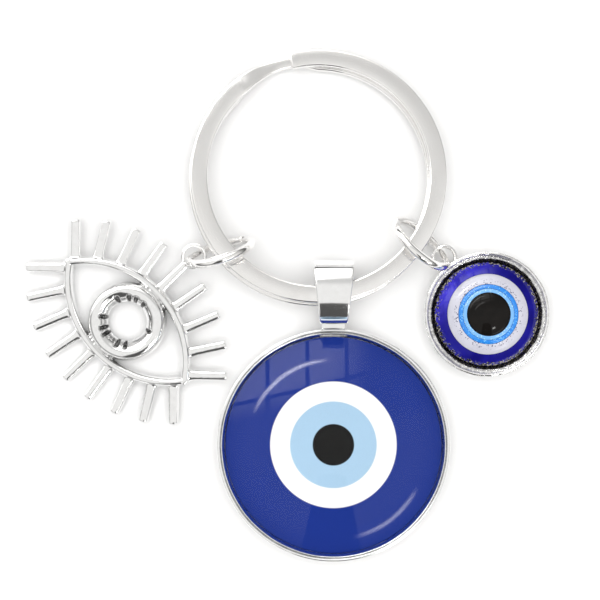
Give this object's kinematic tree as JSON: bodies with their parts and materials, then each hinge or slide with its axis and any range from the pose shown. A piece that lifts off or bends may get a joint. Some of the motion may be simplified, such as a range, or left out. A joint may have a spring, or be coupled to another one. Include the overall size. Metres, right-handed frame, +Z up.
{
  "type": "evil eye keychain",
  "caption": "Keychain ornament: a split ring with a glass evil eye pendant, an open-work eye charm with lashes and a small resin evil eye charm.",
  "frame": {"origin": "on the surface that the keychain lies on, below the middle of its box", "axes": "+Z up out of the surface, +Y from the large pendant towards the split ring, +X to the right with the pendant's face up"},
  "size_m": [0.0608, 0.0594, 0.0081],
  "materials": {
    "split_ring_steel": "polished nickel plate on flat spring steel",
    "jump_ring_steel": "polished nickel plate on round iron wire",
    "cast_silver": "silver plated zinc casting, darkened in its recesses",
    "clear_glue": "clear craft glue",
    "printed_paper": "blue paper printed with a white, a light blue and a black circle",
    "clear_glass": "clear polished glass",
    "blue_resin": "translucent dark blue resin, glossy",
    "white_resin": "white resin with fine glitter",
    "azure_resin": "azure resin, glossy",
    "light_blue_resin": "light blue resin, glossy",
    "black_resin": "black resin, very glossy"
  },
  "bodies": {
    "key_ring": {"split_ring": "split_ring_steel"},
    "large_pendant": {"large_tray": "cast_silver", "large_glue": "clear_glue", "large_print": "printed_paper", "large_glass": "clear_glass"},
    "left_jump_ring": {"left_jump_ring": "jump_ring_steel"},
    "eye_charm": {"eye_charm": "cast_silver"},
    "right_jump_ring": {"right_jump_ring": "jump_ring_steel"},
    "small_pendant": {"small_cup": "cast_silver", "small_glue": "clear_glue", "small_resin_body": "blue_resin", "small_white_ring": "white_resin", "small_azure_ring": "azure_resin", "small_light_ring": "light_blue_resin", "small_pupil": "black_resin"}
  },
  "joints": [
    {"name": "large_pendant_swing", "type": "hinge", "parent": "key_ring", "child": "large_pendant", "pos_m": [0.00527, 0.00115, 0.00386], "axis": [1, 0, 0], "range_deg": [-90, 90]},
    {"name": "left_jump_ring_slide", "type": "hinge", "parent": "key_ring", "child": "left_jump_ring", "pos_m": [0.00359, 0.0149, 0.00254], "axis": [0, 0.0958, 0.9954], "range_deg": [-80, 2]},
    {"name": "eye_charm_swing", "type": "hinge", "parent": "left_jump_ring", "child": "eye_charm", "pos_m": [-0.00769, 0.0061, 0.00408], "axis": [-0.2824, 0.9237, 0.2588], "range_deg": [-60, 90]},
    {"name": "right_jump_ring_slide", "type": "hinge", "parent": "key_ring", "child": "right_jump_ring", "pos_m": [0.00359, 0.0149, 0.00254], "axis": [0, 0.0958, 0.9954], "range_deg": [-3, 80]},
    {"name": "small_pendant_swing", "type": "hinge", "parent": "right_jump_ring", "child": "small_pendant", "pos_m": [0.01534, 0.0071, 0.00394], "axis": [-0.6226, -0.6914, -0.3665], "range_deg": [-60, 90]}
  ]
}
